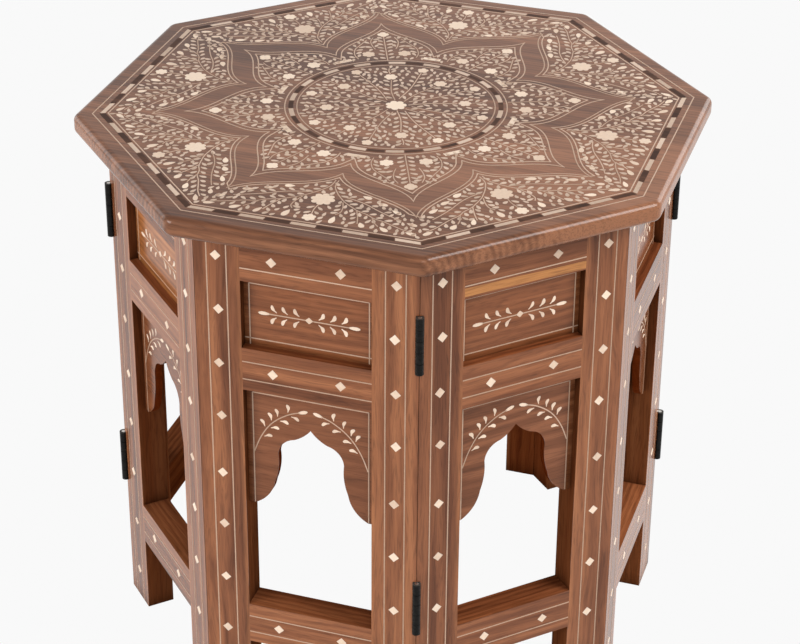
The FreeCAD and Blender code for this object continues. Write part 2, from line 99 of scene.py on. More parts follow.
# Lacquered wood. turn and grain: the piece's heading and the way of its grain. cell: axis and spacing
# of its separate sticks. lines, end_lines: share of year rings, and of those on upright faces.
# face: distance of the lacquered face from the middle of the table. worn_highlit_half_width: half width
# between the arrises, paler from wear and a painted highlight. sapwood: height of a pale strip.
# light_along_x: painted light, a change of tone along X. lacquer: its shine.
# sides: painted shade, the change of shade on bare faces that look sideways.
def wood(name, turn, grain, tones, seed, cell=("Z", 0.5), lines=0.1, face=None, sapwood=None,
         level=0.0, pith=(0.09, 0.09, 0.09), end_lines=None, worn_highlit_half_width=None, light_along_x=0.0, lacquer=1.0,
         sides=-0.4):
    material, shader, make = new_material(name)
    add, calc, spread, tint = make.add, make.calc, make.spread, make.tint

    # Turn to the piece's own frame, and tell the separate sticks of the piece apart
    where = add("TexCoord").outputs
    local, normal = (
        add("Mapping", vector_type="TEXTURE", Vector=where[which], Rotation=(0, 0, turn)).outputs["Vector"]
        for which in ("Object", "Normal"))
    parts = add("SeparateXYZ", local).outputs
    facing = add("SeparateXYZ", normal).outputs
    axis, size = cell
    stick = calc("FLOOR", calc("DIVIDE", parts[axis], size))
    middle = {"Z": level, axis: calc("MULTIPLY", calc("ADD", stick, 0.5), size)}
    centre = add("CombineXYZ", **middle).outputs["Vector"]
    chance = add("TexWhiteNoise", noise_dimensions="1D", W=calc("ADD", stick, 7.31 * seed)).outputs
    inside = calc("SUBTRACT", local, centre, kind="VectorMath")

    # Draw the figure out along the grain, each stick cut from another place in the tree
    def drawn_out(place, share):
        scale = {"X": (share, 1, 1), "Z": (1, 1, share)}[grain]
        return add("Mapping", Vector=place, Scale=scale).outputs["Vector"]

    def figure(scale, detail, distortion=0.0):
        node = add("TexNoise", Vector=drawn, Scale=scale, Detail=detail, Distortion=distortion)
        return node.outputs["Fac"]

    shift = add("VectorMath", operation="SCALE", Vector=chance["Color"], Scale=9.0).outputs["Vector"]
    moved = calc("ADD", inside, shift, kind="VectorMath")
    wander = 0.02
    slow = add("TexNoise", Vector=drawn_out(moved, 0.17), Scale=36, Detail=2).outputs["Color"]
    bend = add("Mapping", Vector=slow, Location=(-wander / 2,) * 3, Scale=(wander,) * 3).outputs["Vector"]
    drawn = drawn_out(calc("ADD", moved, bend, kind="VectorMath"), 0.035)
    near = calc("MULTIPLY", chance["Color"], pith, kind="VectorMath")
    trunk = calc("ADD", inside, near, kind="VectorMath")
    rings = add("TexWave", wave_type="RINGS", rings_direction=grain, Vector=drawn_out(trunk, 0.1),
                Scale=80, Distortion=5, Detail=3, Detail_Scale=0.9).outputs["Fac"]
    broad, streaks, fine = figure(34, 3, 0.6), figure(150, 5, 0.4), figure(1100, 2)

    # Add the figure up to one tone, and colour it
    broad_share, streak_share, stick_share, rim_tone = 0.56 - lines / 2, 0.44 - lines / 2, 0.12, 0.10
    tone = calc("MULTIPLY_ADD", broad, broad_share, calc("MULTIPLY", streaks, streak_share))
    ring_share = lines
    if end_lines:
        flat = calc("ABSOLUTE", facing["Z"])
        ring_share = calc("MULTIPLY_ADD", flat, lines - end_lines, end_lines)
        tone = calc("MULTIPLY_ADD", calc("SUBTRACT", 1.0, flat), rim_tone, tone)
    tone = calc("MULTIPLY_ADD", calc("SUBTRACT", rings, 0.5), ring_share, tone)
    tone = calc("ADD", tone, lines / 2)
    tone = calc("MULTIPLY_ADD", calc("SUBTRACT", chance["Value"], 0.5), stick_share, tone)
    # Painted light: the tone rises along X, so the piece is painted lighter towards +X
    tone = calc("MULTIPLY_ADD", parts["X"], light_along_x, tone)
    colour = make.ramp(tone, (0.36, 0.5, 0.64), tones)

    # The pores darken the wood. Painted shade: ambient occlusion darkens hollows, recesses and corners and
    # dims the lacquer's shine there. Painted light: faces that look up or to the front get less of this
    # shade
    hollow = add("AmbientOcclusion", samples=8, Distance=0.026).outputs["AO"]
    depth = spread(hollow, 0.3, 0.8, 0.26, 1.0)
    gloss = calc("MULTIPLY", depth, lacquer)
    upward = calc("MAXIMUM", facing["Z"], 0.0)
    frontal = calc("MAXIMUM", calc("MULTIPLY", facing["Y"], -1.0), 0.0)
    open_to_light = calc("ADD", calc("MULTIPLY", upward, 0.9), calc("MULTIPLY", frontal, 0.5))
    lit = calc("MULTIPLY_ADD", calc("SUBTRACT", 1.0, depth), open_to_light, depth)
    shade = calc("MULTIPLY", spread(fine, 0.34, 0.52, 0.7, 1.0), lit)

    # Behind its lacquered face the wood is bare, without the lacquer's shine, and browner. Painted light and
    # shade on the bare wood: faces that look up are painted lighter and less brown, faces that look sideways
    # are painted darker and browner, as the shaded walls of a recess
    if face:
        bare_and_shade_tint, wall_shade_tint = (0.78, 0.54, 0.36, 1), (0.85, 0.62, 0.42, 1)
        raw = calc("GREATER_THAN", parts["Y"], 0.0004 - face)
        gloss = calc("MULTIPLY", gloss, calc("SUBTRACT", 1.0, raw))
        sideways = calc("ABSOLUTE", facing["X"])
        painted_light_and_shade = calc("ADD", calc("MULTIPLY", upward, 0.2), calc("MULTIPLY", sideways, sides))
        shade = calc("MULTIPLY", shade, calc("MULTIPLY_ADD", raw, painted_light_and_shade, 1.0))
        bare_and_shade_share = calc("MULTIPLY", raw, calc("MULTIPLY_ADD", upward, -0.6, 1.0))
        colour = tint(colour, bare_and_shade_tint, bare_and_shade_share)
        colour = tint(colour, wall_shade_tint, calc("MULTIPLY", raw, sideways))
    # The arrises of the stiles are paler: worn lacquer, and a painted highlight along the edges
    if worn_highlit_half_width:
        worn_highlit_arris = (0.40, 0.155, 0.062, 1)
        rubbed_and_highlit = spread(calc("ABSOLUTE", parts["X"]), worn_highlit_half_width + 0.0042, worn_highlit_half_width + 0.0012, 0.0, 0.75)
        colour = tint(colour, worn_highlit_arris, calc("MULTIPLY", rubbed_and_highlit, streaks), "MIX")
    if sapwood:
        pale_edge = (0.47, 0.20, 0.062, 1)
        low, high = sapwood
        wave = calc("MULTIPLY_ADD", streaks, 0.004, parts["Z"])
        taper = calc("MULTIPLY_ADD", parts["X"], -0.018, high)
        band = calc("MULTIPLY", calc("GREATER_THAN", wave, low), calc("LESS_THAN", wave, taper))
        mottled = calc("MULTIPLY", band, calc("MULTIPLY_ADD", fine, 0.5, 0.6))
        colour = tint(colour, pale_edge, mottled, "MIX")
    bump = add("Bump", Strength=0.12, Distance=0.0002, Height=fine).outputs["Normal"]
    fill(shader, Base_Color=tint(colour, shade, 1.0), Roughness=spread(streaks, 0.0, 1.0, 0.40, 0.62),
         Normal=bump, Coat_Weight=gloss, Coat_Roughness=0.2, Coat_IOR=1.34, Specular_IOR_Level=0.0)
    return material


def dress(node_name, material):
    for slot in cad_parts[node_name].material_slots:
        slot.material = material


def panel_turn(panel):
    return math.radians(45 * panel - 22.5)


STILE_TONES = ((0.120, 0.038, 0.015), (0.225, 0.079, 0.033), (0.322, 0.124, 0.053))
STILE_SEEDS = (139, 31, 3, 4, 5, 6, 26, 96)
PANELS = range(1, 9)
LACQUERED_FACE, STILE_SPACING, STILE_ARRIS = 0.2028, 0.168, 0.049
for panel, seed in zip(PANELS, STILE_SEEDS):
    name = f"panel_{panel}_stiles"
    dress(name, wood(f"{name}_wood", panel_turn(panel), "Z", STILE_TONES, seed, ("X", STILE_SPACING),
                     face=LACQUERED_FACE, worn_highlit_half_width=STILE_ARRIS))


# Stile inlay: thin strips and small squares of bone, sawn, glued into cut grooves and scraped
# level. Two strings run the height of each post, with squares set on point between them.
def bone_material(name, tones):
    material, shader, make = new_material(name)
    grain = make.add("TexNoise", make.add("TexCoord").outputs["Object"], Scale=420, Detail=4).outputs["Fac"]
    island = make.add("NewGeometry").outputs["Random Per Island"]
    tone = make.calc("MULTIPLY_ADD", grain, 0.5, make.calc("MULTIPLY", island, 0.5))
    bump = make.add("Bump", Strength=0.15, Distance=0.0002, Height=grain).outputs["Normal"]
    fill(shader, Base_Color=make.ramp(tone, (0.15, 0.7), tones), Roughness=0.42, Subsurface_Weight=0.05,
         Normal=bump)
    return material


BONE = bone_material("bone", ((0.60, 0.42, 0.30), (0.82, 0.64, 0.49)))
STRING_BONE = bone_material("string_bone", ((0.37, 0.225, 0.145), (0.55, 0.37, 0.26)))
LEAF_BONE = bone_material("leaf_bone", ((0.41, 0.275, 0.19), (0.60, 0.435, 0.325)))
PLAIN, STRING, LEAF = range(3)
STRING_WIDTH = 0.87
INLAY_LOW, INLAY_HIGH = -0.4, 0.1


# A flat piece of inlay with the given outline, sunk in the wood and just proud of it
def prism(mesh, outline, place, kind=PLAIN):
    low = [mesh.verts.new(place(u, v, INLAY_LOW)) for u, v in outline]
    high = [mesh.verts.new(place(u, v, INLAY_HIGH)) for u, v in outline]
    faces = [mesh.faces.new(high), mesh.faces.new(low[::-1])]
    for i in range(len(outline)):
        j = (i + 1) % len(outline)
        faces.append(mesh.faces.new((low[i], low[j], high[j], high[i])))
    for face in faces:
        face.material_index = kind


LEAST_MITRE = 0.35


# A string of inlay along a path, mitred at its bends
def ribbon(mesh, path, place, width=STRING_WIDTH, closed=False):
    count = len(path)
    left, right = [], []
    for i, (u, v) in enumerate(path):
        before = path[i - 1] if closed or i else path[i]
        after = path[(i + 1) % count] if closed or i < count - 1 else path[i]
        steps = [Vector((u - before[0], v - before[1])), Vector((after[0] - u, after[1] - v))]
        ways = [step.normalized() for step in steps if step.length > 1e-9]
        way = sum(ways, Vector((0, 0))).normalized()
        stretch = 1 / max(way.dot(ways[0]), LEAST_MITRE)
        across = Vector((-way.y, way.x)) * width / 2 * stretch
        left.append((u + across.x, v + across.y))
        right.append((u - across.x, v - across.y))
    if not closed:
        prism(mesh, right + left[::-1], place, STRING)
        return
    rows = [[mesh.verts.new(place(u, v, h)) for u, v in side]
            for side, h in ((right, INLAY_HIGH), (left, INLAY_HIGH), (left, INLAY_LOW), (right, INLAY_LOW))]
    for i in range(count):
        j = (i + 1) % count
        for a in range(4):
            b = (a + 1) % 4
            face = mesh.faces.new((rows[a][i], rows[a][j], rows[b][j], rows[b][i]))
            face.material_index = STRING


def diamond(u, v, half_width, half_height):
    return [(u + half_width, v), (u, v + half_height), (u - half_width, v), (u, v - half_height)]


def strip(mesh, start, end, place, width=STRING_WIDTH):
    ribbon(mesh, [start, end], place, width)


def inlay_piece(mesh, name, body, materials=(BONE, STRING_BONE, LEAF_BONE)):
    data = bpy.data.meshes.new(name)
    mesh.to_mesh(data)
    mesh.free()
    for material in materials:
        data.materials.append(material)
    piece = bpy.data.objects.new(name, data)
    bpy.context.scene.collection.objects.link(piece)
    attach(piece, body)


PANEL_WIDTH, OUTER_FACE, BASE_HEIGHT = 168.0, 202.797, 422.0


# Places a point of a panel, in millimetres from its middle line and the floor, in the room
def on_panel(panel, recess=0.0):
    turn = Matrix.Rotation(panel_turn(panel), 3, "Z")
    return lambda x, z, h: turn @ Vector((x, -(OUTER_FACE - recess + h), z)) * 0.001


BY_EYE = random.Random(5)
SQUARE_HALF = 4.0


# A square on point, set a little off its mark as it is by hand
def bone_square(mesh, x, z, place, off_x, off_z):
    x += BY_EYE.uniform(-off_x, off_x)
    z += BY_EYE.uniform(-off_z, off_z)
    prism(mesh, diamond(x, z, SQUARE_HALF, SQUARE_HALF * BY_EYE.uniform(0.95, 1.07)), place)


STILE_STRINGS, STRING_END = (10.0, 25.0), 0.3
SQUARE_INSET = 17.4
SQUARE_LEVELS = (401.3, 358.0, 313.2, 268.6, 218.8, 172.4, 123.8, 75.8, 28.0)
for panel in PANELS:
    place = on_panel(panel)
    mesh = bmesh.new()
    for side in (-1, 1):
        for inset in STILE_STRINGS:
            x = side * (PANEL_WIDTH / 2 - inset)
            strip(mesh, (x, STRING_END), (x, BASE_HEIGHT - STRING_END), place)
        for level in SQUARE_LEVELS:
            bone_square(mesh, side * (PANEL_WIDTH / 2 - SQUARE_INSET), level, place, 0.7, 0.9)
    inlay_piece(mesh, f"panel_{panel}_stile_inlay", f"panel_{panel}")


# Rails: three sheesham cross members per panel, tenoned into the stiles. The grain runs across;
# each carries two bone strings with a pair of squares between them.
RAIL_TONES = ((0.115, 0.036, 0.014), (0.212, 0.072, 0.029), (0.315, 0.118, 0.050))
RAIL_STRINGS = {"bottom": (76.3, 90.9), "mid": (303.3, 317.9), "top": (394.4, 411.2)}
RAIL_SQUARES = {"bottom": 83.9, "mid": 310.9, "top": 402.3}
RAIL_SQUARE_X, HALF_OPENING = 25.6, 49.0
RAIL_SPACING, RAIL_SEEDS, SAPWOOD_STRIPS = 0.12, {1: 104, 8: 297}, {1: (0.3876, 0.3938)}
for panel in PANELS:
    name = f"panel_{panel}_rails"
    seed = RAIL_SEEDS.get(panel, panel + 20)
    dress(name, wood(f"{name}_wood", panel_turn(panel), "X", RAIL_TONES, seed, ("Z", RAIL_SPACING),
                     face=LACQUERED_FACE, sapwood=SAPWOOD_STRIPS.get(panel)))
    place = on_panel(panel)
    mesh = bmesh.new()
    for rail, levels in RAIL_STRINGS.items():
        for level in levels:
            strip(mesh, (-HALF_OPENING, level), (HALF_OPENING, level), place)
        for x in (-RAIL_SQUARE_X, RAIL_SQUARE_X):
            bone_square(mesh, x, RAIL_SQUARES[rail], place, 0.9, 0.5)
    inlay_piece(mesh, f"panel_{panel}_rail_inlay", f"panel_{panel}")


# Frieze boards: thin sheesham boards set back in grooves between the top and middle rails.
# A bone string frames each, round a straight leafy spray cut from bone with a fine saw.
def leaf(length, width, bend):
    width *= BY_EYE.uniform(0.9, 1.1)
    left, right = [], []
    for t, share in ((0.0, 0.16), (0.3, 0.34), (0.55, 0.78), (0.75, 1.0), (0.92, 0.72)):
        u, v = length * t, bend * t * t
        left.append((u, v + share * width / 2))
        right.append((u, v - share * width / 2))
    return right + [(length, bend)] + left[::-1]


def bud(length, width):
    profile = ((0.1, 0.5), (0.4, 0.95), (0.7, 1.0), (0.9, 0.6))
    left = [(length * t, width / 2 * share) for t, share in profile]
    return [(0, 0)] + [(u, -v) for u, v in left] + [(length, 0)] + left[::-1]


def turned(outline, at, angle, flip=False):
    c, s = math.cos(angle), math.sin(angle)
    if flip:
        outline = [(u, -v) for u, v in reversed(outline)]
    return [(at[0] + u * c - v * s, at[1] + u * s + v * c) for u, v in outline]


BOARD_RECESS, BOARD_FACE = 7.0, 0.1958
FRIEZE_TONES = ((0.155, 0.049, 0.018), (0.222, 0.074, 0.028), (0.288, 0.102, 0.041))
ORANGE_TONES = ((0.190, 0.062, 0.018), (0.320, 0.115, 0.036), (0.430, 0.170, 0.060))
FRIEZE_LOW, FRIEZE_HIGH, FRIEZE_SIDE = 334.5, 379.5, 45.0
SPRAY_LEVEL, SPRAY_START, SPRAY_END, STEM_WIDTH = 356.5, 3.0, 30.5, 0.85
SPRAY_LEAVES, LEAF_STANDOFF = (7.0, 16.0, 24.5), 2.0
FRIEZE_LEAF, FRIEZE_BUD, FRIEZE_BUD_ROOT = (6.5, 3.3, 2.3), (9.0, 2.8), 29.5
for panel in PANELS:
    name = f"panel_{panel}_frieze_board"
    tones = ORANGE_TONES if panel == 7 else FRIEZE_TONES
    dress(name, wood(f"{name}_wood", panel_turn(panel), "X", tones, panel + 40, face=BOARD_FACE))
    place = on_panel(panel, BOARD_RECESS)
    mesh = bmesh.new()
    strip(mesh, (-FRIEZE_SIDE, FRIEZE_HIGH), (FRIEZE_SIDE, FRIEZE_HIGH), place)
    strip(mesh, (-HALF_OPENING, FRIEZE_LOW), (HALF_OPENING, FRIEZE_LOW), place)
    for side in (-1, 1):
        strip(mesh, (side * FRIEZE_SIDE, FRIEZE_LOW - 5), (side * FRIEZE_SIDE, FRIEZE_HIGH), place)
        out = 0 if side > 0 else math.pi
        strip(mesh, (side * SPRAY_START, SPRAY_LEVEL), (side * SPRAY_END, SPRAY_LEVEL), place, STEM_WIDTH)
        prism(mesh, turned(bud(*FRIEZE_BUD), (side * FRIEZE_BUD_ROOT, SPRAY_LEVEL), out), place)
        for root in SPRAY_LEAVES:
            for up in (-1, 1):
                root += BY_EYE.uniform(-0.5, 0.5)
                at = (side * root, SPRAY_LEVEL + up * LEAF_STANDOFF)
                way = out + side * up * 0.55
                prism(mesh, turned(leaf(*FRIEZE_LEAF), at, way, flip=side * up < 0), place)
    prism(mesh, diamond(0, SPRAY_LEVEL, 3.0, 2.7), place)
    inlay_piece(mesh, f"panel_{panel}_frieze_inlay", f"panel_{panel}")


# Arch boards: thin sheesham boards sawn to a pointed arch and set back under the middle rail.
# Bone strings line three edges, and two leafy bone sprays rise from the sides over the arch.

# A path rounded through its points
def smooth(points, steps=6):
    path = []
    for i in range(len(points) - 1):
        a, b = points[max(i - 1, 0)], points[i]
        c, d = points[i + 1], points[min(i + 2, len(points) - 1)]
        for k in range(steps):
            t = k / steps
            path.append(tuple(
                0.5 * (2 * b[n] + (c[n] - a[n]) * t + (2 * a[n] - 5 * b[n] + 4 * c[n] - d[n]) * t * t
                       + (3 * b[n] - a[n] - 3 * c[n] + d[n]) * t ** 3) for n in (0, 1)))
    return path + [points[-1]]


# The place at a share of a path's length, and the path's heading there
def point_along(path, share):
    spans = [math.dist(a, b) for a, b in zip(path, path[1:])]
    rest = share * sum(spans)
    for (a, b), span in zip(zip(path, path[1:]), spans):
        if rest <= span:
            break
        rest -= span
    t = min(rest / span, 1)
    at = (a[0] + (b[0] - a[0]) * t, a[1] + (b[1] - a[1]) * t)
    return at, math.atan2(b[1] - a[1], b[0] - a[0])


ARCH_TONES = ((0.152, 0.051, 0.020), (0.190, 0.065, 0.027), (0.230, 0.083, 0.036))
ARCH_FOOT, ARCH_STRING_TOP, ARCH_STRING_SIDE = 192.5, 288.8, 44.5
ARCH_STEM = ((44.0, 238.0), (39.4, 250.0), (33.0, 261.0), (25.5, 268.8), (16.0, 275.0), (8.0, 278.0))
ARCH_LEAVES = {1: (0.44, 0.56, 0.69, 0.83), -1: (0.28, 0.47, 0.66, 0.85)}
ARCH_LEAF, ARCH_BUD, ARCH_BUD_SHARE = (6.3, 3.2, 1.9), (8.0, 2.8), 0.97
ARCH_LINES = {1: 0.45}
for panel in PANELS:
    name = f"panel_{panel}_arch_board"
    dress(name, wood(f"{name}_wood", panel_turn(panel), "X", ARCH_TONES, panel + 60,
                     lines=ARCH_LINES.get(panel, 0.1), face=BOARD_FACE, sides=0.0))
    place = on_panel(panel, BOARD_RECESS)
    mesh = bmesh.new()
    strip(mesh, (-ARCH_STRING_SIDE, ARCH_STRING_TOP), (ARCH_STRING_SIDE, ARCH_STRING_TOP), place)
    for side in (-1, 1):
        x = side * ARCH_STRING_SIDE
        strip(mesh, (x, ARCH_FOOT + STRING_END), (x, ARCH_STRING_TOP), place)
        stem = smooth([(side * u, v) for u, v in ARCH_STEM])
        ribbon(mesh, stem, place, STEM_WIDTH)
        end, way = point_along(stem, ARCH_BUD_SHARE)
        prism(mesh, turned(bud(*ARCH_BUD), end, way), place)
        for over, shares in ARCH_LEAVES.items():
            up = -side * over
            for share in shares:
                at, way = point_along(stem, share + BY_EYE.uniform(-0.015, 0.015))
                at = (at[0] - up * math.sin(way) * LEAF_STANDOFF, at[1] + up * math.cos(way) * LEAF_STANDOFF)
                way += up * (0.65 + 0.15 * over)
                prism(mesh, turned(leaf(*ARCH_LEAF), at, way, flip=up < 0), place)
    inlay_piece(mesh, f"panel_{panel}_arch_inlay", f"panel_{panel}")


# Hinges: black japanned iron butt hinges let into the mitres, with a round barrel that shows at
# the corner, a driven pin and countersunk iron screws. The tops of the barrels are painted lighter, a
# painted highlight.
BARREL_TOPS, BARREL_END_DEPTH = (0.37925, 0.15325), 0.0004


def iron(name, tone, rough, metal, glint_tone):
    material, shader, make = new_material(name)
    add, calc = make.add, make.calc
    where = add("TexCoord").outputs["Object"]
    grain = add("TexNoise", where, Scale=260, Detail=6).outputs["Fac"]
    upward = add("SeparateXYZ", add("NewGeometry").outputs["Normal"]).outputs["Z"]
    height = add("SeparateXYZ", where).outputs["Z"]
    # Painted highlight: faces that look up at the tops of the barrels are painted lighter
    barrel_ends = calc("ADD", *(calc("COMPARE", height, level, BARREL_END_DEPTH) for level in BARREL_TOPS))
    painted_glint = calc("MULTIPLY", upward, barrel_ends, use_clamp=True)
    worn_tone = tuple(2.6 * c for c in tone)
    colour = make.tint(make.ramp(grain, (0.35, 0.75), (tone, worn_tone)), (*glint_tone, 1), painted_glint, "MIX")
    bump = add("Bump", Strength=0.2, Distance=0.0003, Height=grain).outputs["Normal"]
    fill(shader, Base_Color=colour, Roughness=make.spread(grain, 0.0, 1.0, rough - 0.1, rough + 0.15),
         Normal=bump, Metallic=metal, Specular_IOR_Level=0.12)
    return material


BLACK_IRON = iron("black_iron", (0.0035, 0.003, 0.0025), 0.24, 0.0, (0.05, 0.045, 0.04))
BRIGHT_IRON = iron("bright_iron", (0.36, 0.35, 0.33), 0.32, 1.0, (0.60, 0.57, 0.53))
for panel in PANELS:
    dress(f"panel_{panel}_hinge_leaves", BLACK_IRON)
    dress(f"panel_{panel}_hinge_pins", BRIGHT_IRON)
    dress(f"panel_{panel}_hinge_screws", BRIGHT_IRON)


# Top: one octagonal sheesham board with rounded corners and edges, resting on the base and
# located by two glued pegs. Its grain runs along the front left side.
TOP_TONES = ((0.094, 0.033, 0.014), (0.172, 0.066, 0.030), (0.268, 0.110, 0.053))
TOP_TURN, PLANK_WIDTH, BOARD_MIDDLE = math.radians(-22.5), 0.078, 0.43
# The top is painted lighter towards +X, a painted light
dress("top_board", wood("top_wood", TOP_TURN, "X", TOP_TONES, 3, ("Y", PLANK_WIDTH), lines=0.07,
                        level=BOARD_MIDDLE, pith=(0, 0.11, 0.03), end_lines=0.11, light_along_x=0.26))
dress("top_pegs", wood("peg_wood", math.radians(22.5), "Z", RAIL_TONES, 5))


# Top border: bone and dark wood blocks in turn, nine to a side, between two bone strings. They are
# sawn from strips, glued into one cut groove near the edge of the top and scraped level.
TOP_LEVEL = 438.0


def on_top(x, y, h):
    return Vector((x, y, TOP_LEVEL + h)) * 0.001


def octagon(apothem):
    radius = apothem / math.cos(math.pi / 8)
    angles = [math.radians(45 * k - 90) for k in range(8)]
    return [(radius * math.cos(a), radius * math.sin(a)) for a in angles]


DARK_TONES = ((0.046, 0.018, 0.010), (0.072, 0.029, 0.015), (0.104, 0.044, 0.024))
DARK_WOOD = wood("dark_block_wood", TOP_TURN, "X", DARK_TONES, 9, lacquer=0.4)
BORDER_STRINGS = (212.0, 201.2)
bone_mesh, dark_mesh = bmesh.new(), bmesh.new()
for apothem in BORDER_STRINGS:
    ribbon(bone_mesh, octagon(apothem), on_top, closed=True)
BLOCKS_PER_SIDE, BLOCK_SPAN = 9, (0.02, 0.98)
BORDER_EDGES = {"dark": (octagon(202.9), octagon(207.3)), "bone": (octagon(203.4), octagon(206.8))}
for side in range(8):
    for block in range(BLOCKS_PER_SIDE):
        kind = "bone" if (side * BLOCKS_PER_SIDE + block) % 2 else "dark"
        inner, outer = BORDER_EDGES[kind]
        span = [(block + share) / BLOCKS_PER_SIDE for share in BLOCK_SPAN]
        corners = []
        for ring, shares in ((outer, span), (inner, span[::-1])):
            a, b = ring[side], ring[(side + 1) % 8]
            corners += [(a[0] + (b[0] - a[0]) * t, a[1] + (b[1] - a[1]) * t) for t in shares]
        if kind == "dark":
            prism(dark_mesh, corners, on_top)
        else:
            prism(bone_mesh, corners, on_top, LEAF)
inlay_piece(bone_mesh, "top_border_bone", "top")
inlay_piece(dark_mesh, "top_border_dark", "top", [DARK_WOOD])


# Rosette: bone strings in pairs that leave an eight-petalled band of plain wood, with a short
# bone bar at the foot of each inner cusp. They are bent, glued into cut grooves and scraped level.
PETAL_STEPS = 14


# One side of a petal as an ogee from the cusp to the tip, along and beside the petal's axis
def petal_side(cusp, tip):
    x0, y0 = cusp * math.sin(math.pi / 8), cusp * math.cos(math.pi / 8)
    rise = tip - y0
    ends = ((y0, x0), (y0 + 0.436 * rise, x0), (tip - 0.417 * rise, 0.137 * x0), (tip, 0.0))
    path = []
    for k in range(PETAL_STEPS + 1):
        t = k / PETAL_STEPS
        weights = ((1 - t) ** 3, 3 * t * (1 - t) ** 2, 3 * t * t * (1 - t), t ** 3)
        path.append(tuple(sum(w * end[n] for w, end in zip(weights, ends)) for n in (0, 1)))
    return path


# A string beside another, cut off on the petal's axis and on the line between two petals
def beside(side, gap):
    run = [Vector(point) for point in side]
    run.insert(0, run[0] + (run[0] - run[1]) * 4)
    run.append(run[-1] + (run[-1] - run[-2]) * 4)
    moved = []
    for i, point in enumerate(run):
        way = run[min(i + 1, len(run) - 1)] - run[max(i - 1, 0)]
        moved.append(point + Vector((-way.y, way.x)).normalized() * gap)
    for height in (lambda p: p.y, lambda p: p.x * math.tan(math.pi / 8) - p.y):
        kept = []
        for a, b in zip(moved, moved[1:]):
            if height(a) >= 0:
                kept.append(a)
            if height(a) * height(b) < 0:
                kept.append(a.lerp(b, height(a) / (height(a) - height(b))))
        moved = kept
    return [tuple(point) for point in moved]


# Points of a sector, given as distance from the middle and to the left of its axis, on the top
def sector(points, angle):
    c, s = math.cos(angle), math.sin(angle)
    return [(u * c - v * s, u * s + v * c) for u, v in points]


BAND_OUTSIDE, BAND_INSIDE = petal_side(122.4, 183.5), petal_side(105.5, 159.5)
FIELD_STRING, PETAL_STRING = beside(BAND_OUTSIDE, 3.1), beside(BAND_INSIDE, -4.2)
CUSP_BAR = ((89.6, -7), (93.8, -7), (93.8, 7), (89.6, 7))
mesh = bmesh.new()
for side in (FIELD_STRING, BAND_OUTSIDE, BAND_INSIDE, PETAL_STRING):
    path = []
    for petal in range(8):
        angle = math.radians(45 * petal - 90)
        right = [(u, -v) for u, v in side]
        path += sector(right[:-1], angle) + sector(side[::-1][:-1], angle)
    ribbon(mesh, path, on_top, closed=True)
for cusp in range(8):
    angle = math.radians(45 * cusp - 67.5)
    prism(mesh, sector(CUSP_BAR, angle), on_top)
inlay_piece(mesh, "top_rosette", "top")


# Middle ring: a circle of bone and dark wood blocks in turn between two bone strings, sawn to the
# curve and glued into a ring cut round the middle of the top.
def arc(radius, angles):
    return [(radius * math.cos(a), radius * math.sin(a)) for a in angles]


RING_STRINGS, RING_STEPS = (75.4, 84.6), 128
RING_BLOCKS, RING_OUTER, RING_INNER = 36, 81.8, 78.2
bone_mesh, dark_mesh = bmesh.new(), bmesh.new()
for radius in RING_STRINGS:
    circle = arc(radius, [2 * math.pi * i / RING_STEPS for i in range(RING_STEPS)])
    ribbon(bone_mesh, circle, on_top, closed=True)
for block in range(RING_BLOCKS):
    angles = [2 * math.pi * (block + t) / RING_BLOCKS for t in (0.03, 0.27, 0.5, 0.73, 0.97)]
    outline = arc(RING_OUTER, angles) + arc(RING_INNER, angles[::-1])
    if block % 2:
        prism(dark_mesh, outline, on_top)
    else:
        prism(bone_mesh, outline, on_top, LEAF)
inlay_piece(bone_mesh, "top_ring_bone", "top")
inlay_piece(dark_mesh, "top_ring_dark", "top", [DARK_WOOD])


# Flowers and leaves of the top: small bone pieces, each sawn by hand and let in on its own, so
# no two sprays are quite alike. Stems are fine bone strings.
HAND = random.Random(11)
LEAF_SPACING, LEAF_LENGTH, LEAF_WIDTH, LARGE_LEAF = 7.0, 5.7, 2.8, 7.2
TOP_STEM_WIDTH, ROOT_STANDOFF = 0.8, 1.25
CELL = 6.0
taken = {}


def flower(radius, lobes, at):
    steps = lobes * 6
    outline = []
    for i in range(steps):
        a = 2 * math.pi * i / steps
        reach = radius * (0.76 + 0.24 * abs(math.cos(a * lobes / 2)) ** 0.7)
        outline.append((at[0] + reach * math.cos(a), at[1] + reach * math.sin(a)))
    return outline


def teardrop(length, width):
    profile = ((0.0, 0.10), (0.2, 0.55), (0.42, 0.9), (0.64, 1.0), (0.84, 0.78), (0.96, 0.36))
    left = [(length * t, width / 2 * share) for t, share in profile]
    return [(u, -v) for u, v in left] + left[::-1]


# What is let in so far, by cells of the top, with the room that each piece needs
def take(at, clear):
    taken.setdefault((at[0] // CELL, at[1] // CELL), []).append((*at, clear))


def is_free(at, reach):
    column, row = at[0] // CELL, at[1] // CELL
    for i in range(-2, 3):
        for j in range(-2, 3):
            for u, v, clear in taken.get((column + i, row + j), ()):
                if (at[0] - u) ** 2 + (at[1] - v) ** 2 < (reach + clear) ** 2:
                    return False
    return True


# Lets in a leaf from its root, unless another piece is in the way
def top_leaf(mesh, root, way, angle, length=LEAF_LENGTH, width=LEAF_WIDTH, sure=False):
    way += HAND.uniform(-0.16, 0.16)
    length *= HAND.uniform(0.86, 1.12)
    shape = turned(teardrop(length, width * HAND.uniform(0.88, 1.12)), root, way)
    middle = (root[0] + math.cos(way) * length * 0.55, root[1] + math.sin(way) * length * 0.55)
    middle = sector([middle], angle)[0]
    if sure or is_free(middle, 1.5):
        take(middle, 0.36 * length)
        prism(mesh, sector(shape, angle), on_top, PLAIN if length > LARGE_LEAF else LEAF)


